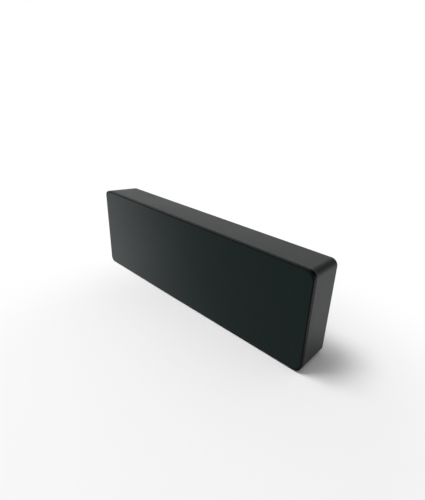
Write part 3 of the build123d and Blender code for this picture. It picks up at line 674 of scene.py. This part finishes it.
case_finishes = {
    "lens_panel": smoked_lens,
    "lens_tape": foam_tape,
    "front_shell": satin_case,
    "rear_cover": grained_cover,
    "battery_door": grained_cover,
    "foot_pads": foot_rubber,
    "mode_button": smooth_keys,
    "set_button": smooth_keys,
    "up_button": smooth_keys,
    "down_button": smooth_keys,
}
inner_finishes = {
    "diffuser_sheet": diffuser_film,
    "segment_reflector": reflector_white,
    "segment_leds": led_resin,
    "main_board": board_laminate,
    "power_board": board_laminate,
    "contact_plates": nickel_strip,
    "positive_lead": red_insulation,
    "negative_lead": black_insulation,
    "switch_bodies": switch_black,
    "mode_plunger": plunger_ivory,
    "set_plunger": plunger_ivory,
    "up_plunger": plunger_ivory,
    "down_plunger": plunger_ivory,
    "usb_socket": socket_steel,
    "usb_tongue": switch_black,
    "alarm_buzzer": switch_black,
    "clock_chip": chip_black,
    "chip_resistors": chip_black,
    "driver_transistors": chip_black,
    "quartz_crystal": can_steel,
    "supply_capacitor": capacitor_sleeve,
}


def dress(finishes, look):
    """Gives each CAD node its finish; nodes with the same one share it."""
    made = {}
    for name, recipe in finishes.items():
        if recipe not in made:
            made[recipe] = recipe(look)
        mesh = nodes[name].data
        mesh.materials.clear()
        mesh.materials.append(made[recipe])


def middle_of(name):
    """Middle of a CAD node's box."""
    low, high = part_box(name)
    return (low + high) / 2


soft_edge_share = 1 / 3  # of a sign's height
arrow_share = 0.8  # of an arrow's width


def raised(name, outlines, floor_y, rise, material):
    """Signs that stand on a face at floor_y, with softened edges; outlines are in X and Z."""
    mesh = bpy.data.meshes.new(name)
    form = bmesh.new()
    for outline in outlines:
        foot = [form.verts.new((x, floor_y, z)) for x, z in outline]
        top = [form.verts.new((x, floor_y + rise, z)) for x, z in outline]
        form.faces.new(top)
        form.faces.new(foot)
        for index, corner in enumerate(foot):
            after = (index + 1) % len(foot)
            form.faces.new((corner, foot[after], top[after], top[index]))
    bmesh.ops.recalc_face_normals(form, faces=form.faces)
    form.to_mesh(mesh)
    form.free()
    mesh.materials.append(material)
    made = bpy.data.objects.new(name, mesh)
    bpy.context.scene.collection.objects.link(made)
    soft = made.modifiers.new("soft edges", "BEVEL")
    soft.width = rise * soft_edge_share
    soft.segments = 2
    return made


def bar(x, z, length, width):
    """Outline of a bar along X."""
    return [(x - length / 2, z - width / 2), (x + length / 2, z - width / 2),
            (x + length / 2, z + width / 2), (x - length / 2, z + width / 2)]


def triangle(x, z, size, rise):
    """Outline of a triangle that points up, or down where rise is negative."""
    return [(x - size / 2, z - rise / 2), (x + size / 2, z - rise / 2), (x, z + rise / 2)]


class CLOCK_OT_case(bpy.types.Operator):
    """Give the lens, the case, the cover, the door, the pads and the keys their finishes"""

    bl_idname = "clock.case"
    bl_label = "Dress the case"

    def execute(self, context):
        dress(case_finishes, context.scene.clock_finishes)
        return {"FINISHED"}


class CLOCK_OT_inside(bpy.types.Operator):
    """Give the display, the boards, the contacts and the small parts their finishes"""

    bl_idname = "clock.inside"
    bl_label = "Dress the inside"

    def execute(self, context):
        dress(inner_finishes, context.scene.clock_finishes)
        return {"FINISHED"}


core_share = 0.42  # these three are shares of the diameter over the thread
thread_share = 0.40
ridge_share = 0.10
cross_length_share = 0.56  # these two are shares of the head's diameter
cross_width_share = 0.14
cross_rise_share = 0.45  # of the head's height, from its middle to the cutter's
dome_share = 0.42  # how much of its section the head has lost at its top
dome_power = 3.0


def crossed_head(shape, head, head_height):
    """Domed head that stands on its seat, with a cross cut into it."""
    radius = shape.size("Head radius", head / 2)
    rise = shape.size("Head height", head_height)
    arm = shape.size("Cross length", head * cross_length_share)
    slot = shape.size("Cross width", head * cross_width_share)
    cap = shape.node("GeometryNodeMeshCylinder", {"fill_type": "NGON"}, {
        "Vertices": 48, "Side Segments": 8, "Fill Segments": 6, "Radius": radius, "Depth": rise}, "Mesh")
    place = shape.node("GeometryNodeInputPosition")
    height = shape.node("ShaderNodeSeparateXYZ", None, {"Vector": place}, "Z") / rise + 0.5
    girth = (1 - height ** dome_power * dome_share) ** 0.5
    scale = shape.vector(girth, girth, 1.0)
    domed = shape.node("ShaderNodeVectorMath", {"operation": "MULTIPLY"}, {0: place, 1: scale})
    cap = shape.node("GeometryNodeSetPosition", None, {"Geometry": cap, "Position": domed})
    for size in ((arm, slot, rise), (slot, arm, rise)):
        groove = shape.node("GeometryNodeMeshCube", None, {"Size": shape.vector(*size)}, "Mesh")
        groove = shape.moved(groove, translation=shape.vector(z=rise * cross_rise_share))
        sockets = {"Mesh 1": cap, "Mesh 2": groove}
        settings = {"operation": "DIFFERENCE", "solver": "MANIFOLD"}
        cap = shape.node("GeometryNodeMeshBoolean", settings, sockets, "Mesh")
    return shape.moved(cap, translation=shape.vector(z=rise * 0.5))


def threaded_shank(shape, shank, reach, pitch):
    """Core and thread that go down from the seat, as two geometries."""
    core_radius = shape.size("Core radius", shank * core_share)
    length = shape.size("Length", reach)
    thread_radius = shape.size("Thread radius", shank * thread_share)
    thread_size = shape.size("Thread size", shank * ridge_share)
    turns = shape.size("Turns", (reach - pitch) / pitch)
    core = shape.node("GeometryNodeMeshCylinder", None, {
        "Vertices": 24, "Radius": core_radius, "Depth": length}, "Mesh")
    core = shape.moved(core, translation=shape.vector(z=length * -0.5))
    coil = shape.node("GeometryNodeCurveSpiral", None, {
        "Resolution": 20, "Rotations": turns, "Start Radius": thread_radius, "End Radius": thread_radius,
        "Height": length - pitch})
    ridge = shape.node("GeometryNodeCurvePrimitiveCircle", {"mode": "RADIUS"}, {
        "Resolution": 4, "Radius": thread_size}, "Curve")
    thread = shape.node("GeometryNodeCurveToMesh", None, {
        "Curve": coil, "Profile Curve": ridge, "Fill Caps": True}, "Mesh")
    thread = shape.moved(thread, translation=shape.vector(z=length * -1.0 + pitch * 0.5))
    return core, thread


def pan_screws(name, node, shank, head, head_height, pitch, material):
    """Domed screws with a cross and a thread, in place of a CAD node with four of them."""
    low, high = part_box(node)
    seat = high.y - head_height
    shape = Shape(name)
    cap = crossed_head(shape, head, head_height)
    core, thread = threaded_shank(shape, shank, seat - low.y, pitch)
    shape.finish(shape.on_points(shape.join(cap, core, thread)), material)
    sides = (low.x + head / 2, high.x - head / 2)
    heights = (low.z + head / 2, high.z - head / 2)
    places = [(x, seat, z) for x in sides for z in heights]
    made = shape.grow(name, places, [(0.0, 1.0, 0.0)] * len(places))
    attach(made, "case")
    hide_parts(node)


class CLOCK_OT_screws(bpy.types.Operator):
    """Make the screws of the case and of the board"""

    bl_idname = "clock.screws"
    bl_label = "Make the screws"

    def execute(self, context):
        look = context.scene.clock_finishes
        sizes = context.scene.clock_screws
        pan_screws("rear_screws", "case_screws", sizes.case_shank, sizes.case_head,
                   sizes.case_head_height, sizes.pitch, black_screws(look))
        pan_screws("inner_screws", "board_screws", sizes.board_shank, sizes.board_head,
                   sizes.board_head_height, sizes.pitch, zinc_screws(look))
        return {"FINISHED"}


def cell_rows(sizes):
    """Heights of the three cells' middles."""
    height = middle_of("contact_plates").z
    return [height + sizes.pitch * row for row in (-1, 0, 1)]


class CLOCK_OT_springs(bpy.types.Operator):
    """Make the three conical battery springs"""

    bl_idname = "clock.springs"
    bl_label = "Make the springs"

    def execute(self, context):
        sizes = context.scene.clock_springs
        shape = Shape("coil_springs")
        wire = shape.size("Wire radius", sizes.wire / 2)
        base = shape.size("Base radius", sizes.base_radius)
        tip = shape.size("Tip radius", sizes.tip_radius)
        length = shape.size("Length", sizes.length - sizes.wire * 2)
        turns = shape.size("Turns", sizes.turns)
        seat = shape.node("GeometryNodeCurveSpiral", None, {
            "Resolution": 48, "Rotations": 1.0, "Start Radius": base, "End Radius": base, "Height": wire})
        coil = shape.node("GeometryNodeCurveSpiral", None, {
            "Resolution": 48, "Rotations": turns, "Start Radius": base, "End Radius": tip,
            "Height": length})
        coil = shape.moved(coil, translation=shape.vector(z=wire))
        line = shape.join(seat, coil)
        round_wire = shape.node("GeometryNodeCurvePrimitiveCircle", {"mode": "RADIUS"}, {
            "Resolution": 14, "Radius": wire}, "Curve")
        tube = shape.node("GeometryNodeCurveToMesh", None, {
            "Curve": line, "Profile Curve": round_wire, "Fill Caps": True}, "Mesh")
        tube = shape.moved(tube, translation=shape.vector(z=wire))
        shape.finish(shape.on_points(tube), spring_steel(context.scene.clock_finishes))
        low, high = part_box("battery_springs")
        axis_y = middle_of("contact_plates").y
        places = []
        ways = []
        for row, z in enumerate(cell_rows(sizes)):
            at_left = row % 2 == 0
            places.append((low.x if at_left else high.x, axis_y, z))
            ways.append((1.0, 0.0, 0.0) if at_left else (-1.0, 0.0, 0.0))
        made = shape.grow("coil_springs", places, ways)
        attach(made, "case")
        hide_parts("battery_springs")
        return {"FINISHED"}


class CLOCK_OT_signs(bpy.types.Operator):
    """Make the signs on the keys and in the battery bay"""

    bl_idname = "clock.signs"
    bl_label = "Make the signs"

    def execute(self, context):
        sizes = context.scene.clock_signs
        paint = painted_signs(context.scene.clock_finishes)
        size = sizes.key_size
        for name in ("mode", "set", "up", "down"):
            middle = middle_of(f"{name}_button")
            x, z = middle.x, middle.z
            outlines = {
                "mode": [bar(x, z + step * size / 3, size, sizes.stroke) for step in (-1, 0, 1)],
                "set": [bar(x, z, size / 2, size / 2)],
                "up": [triangle(x, z, size, size * arrow_share)],
                "down": [triangle(x, z, size, size * -arrow_share)],
            }[name]
            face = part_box(f"{name}_button")[1].y
            sign = raised(f"{name}_sign", outlines, face, sizes.key_rise, paint)
            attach(sign, f"{name}_key")
        springs = context.scene.clock_springs
        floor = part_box("contact_plates")[0].y - springs.plate_rise
        outlines = []
        for row, z in enumerate(cell_rows(springs)):
            plus_x = sizes.bay_spread if row % 2 == 0 else -sizes.bay_spread
            outlines.append(bar(-plus_x, z, sizes.bay_size, sizes.stroke))
            outlines.append(bar(plus_x, z, sizes.bay_size, sizes.stroke))
            side = (sizes.bay_size - sizes.stroke) / 2
            offset = (sizes.stroke + side) / 2
            outlines.append(bar(plus_x, z + offset, sizes.stroke, side))
            outlines.append(bar(plus_x, z - offset, sizes.stroke, side))
        plastic = moulded_signs(context.scene.clock_finishes)
        marks = raised("pole_signs", outlines, floor, sizes.bay_rise, plastic)
        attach(marks, "case")
        return {"FINISHED"}


def soft_lamp(name, place, aim, side, power):
    """Square area lamp that points at a place."""
    lamp = bpy.data.lights.new(name, "AREA")
    lamp.shape = "SQUARE"
    lamp.size = side
    lamp.energy = power
    made = bpy.data.objects.new(name, lamp)
    bpy.context.scene.collection.objects.link(made)
    made.location = place
    made.rotation_euler = (Vector(aim) - Vector(place)).to_track_quat("-Z", "Y").to_euler()


def flat_floor(scene, studio):
    """Square floor under the clock, which isn't part of it."""
    mesh = bpy.data.meshes.new("floor")
    half = studio.floor_size / 2
    corners = [(-half, -half, 0), (half, -half, 0), (half, half, 0), (-half, half, 0)]
    mesh.from_pydata(corners, [], [(0, 1, 2, 3)])
    mesh.materials.append(pale_floor(studio))
    floor = bpy.data.objects.new("floor", mesh)
    scene.collection.objects.link(floor)


def soft_sky(scene, studio):
    """Even light from all round, a white background, and a sky with a dark flag for glosses."""
    sky = bpy.data.worlds.new("soft_sky")
    sky.use_nodes = True
    scene.world = sky
    graph = Graph(sky.node_tree)
    way = graph.node("ShaderNodeTexCoord", output="Generated")
    height = graph.node("ShaderNodeSeparateXYZ", None, {"Vector": way}, "Z")
    low, high = studio.horizon
    gloss = graph.node("ShaderNodeMapRange", None, {
        "Value": height, "From Min": low, "From Max": high, "To Min": 1.0, "To Max": studio.gloss_sky})
    both = {0: way, 1: studio.flag_way}
    near = graph.node("ShaderNodeVectorMath", {"operation": "DOT_PRODUCT"}, both, "Value")
    begin, full = studio.flag_reach
    flag = graph.node("ShaderNodeMapRange", {"interpolation_type": "SMOOTHERSTEP"}, {
        "Value": near, "From Min": begin, "From Max": full, "To Min": 1.0, "To Max": 0.0})
    seen = ray(graph, "Camera") + ray(graph, "Transmission")
    in_gloss = ray(graph, "Glossy") * (gloss * flag - studio.sky)
    strength = studio.sky + seen * (1 - studio.sky) + in_gloss
    light = graph.node("ShaderNodeBackground", None, {"Color": white, "Strength": strength})
    graph.node("ShaderNodeOutputWorld", None, {"Surface": light})


def photo_camera(scene, studio):
    """Camera at the photograph's viewing angle."""
    camera = bpy.data.cameras.new("photo_view")
    camera.lens = studio.lens
    camera.shift_x, camera.shift_y = studio.shift
    camera.clip_start = 10 * mm
    made = bpy.data.objects.new("photo_view", camera)
    scene.collection.objects.link(made)
    place = Vector(studio.camera_place)
    turn = (Vector(studio.camera_aim) - place).to_track_quat("-Z", "Y").to_matrix()
    roll = Matrix.Rotation(studio.camera_roll, 3, "Z")
    made.matrix_world = Matrix.Translation(place) @ (turn @ roll).to_4x4()
    scene.camera = made


class CLOCK_OT_studio(bpy.types.Operator):
    """Make the floor, the lights and the camera"""

    bl_idname = "clock.studio"
    bl_label = "Make the studio"

    def execute(self, context):
        scene = context.scene
        studio = scene.clock_studio
        flat_floor(scene, studio)
        soft_sky(scene, studio)
        soft_lamp("key", studio.key_place, (0, 0, 0), studio.key_size, studio.key)
        photo_camera(scene, studio)
        scene.view_settings.view_transform = "Standard"
        return {"FINISHED"}


class CLOCK_PT_panel(bpy.types.Panel):
    bl_label = "Desk clock"
    bl_space_type = "VIEW_3D"
    bl_region_type = "UI"
    bl_category = "Desk clock"

    def draw(self, context):
        for name, operators in groups.items():
            box = self.layout.box()
            settings = getattr(context.scene, name)
            for field in settings.bl_rna.properties.keys():
                if field not in ("rna_type", "name"):
                    box.prop(settings, field)
            for operator in operators:
                box.operator(operator.bl_idname)


groups = {
    "clock_finishes": (CLOCK_OT_case, CLOCK_OT_inside),
    "clock_screws": (CLOCK_OT_screws,),
    "clock_springs": (CLOCK_OT_springs,),
    "clock_signs": (CLOCK_OT_signs,),
    "clock_studio": (CLOCK_OT_studio,),
}
settings_classes = {
    "clock_finishes": ClockFinishes,
    "clock_screws": ClockScrews,
    "clock_springs": ClockSprings,
    "clock_signs": ClockSigns,
    "clock_studio": ClockStudio,
}


def register():
    for name, settings in settings_classes.items():
        bpy.utils.register_class(settings)
        setattr(bpy.types.Scene, name, PointerProperty(type=settings))
    for operators in groups.values():
        for operator in operators:
            bpy.utils.register_class(operator)
    bpy.utils.register_class(CLOCK_PT_panel)


def unregister():
    bpy.utils.unregister_class(CLOCK_PT_panel)
    for operators in groups.values():
        for operator in operators:
            bpy.utils.unregister_class(operator)
    for name, settings in settings_classes.items():
        delattr(bpy.types.Scene, name)
        bpy.utils.unregister_class(settings)


def main():
    register()
    bpy.ops.clock.case()
    bpy.ops.clock.inside()
    bpy.ops.clock.screws()
    bpy.ops.clock.springs()
    bpy.ops.clock.signs()
    bpy.ops.clock.studio()


if __name__ == "__main__":
    main()
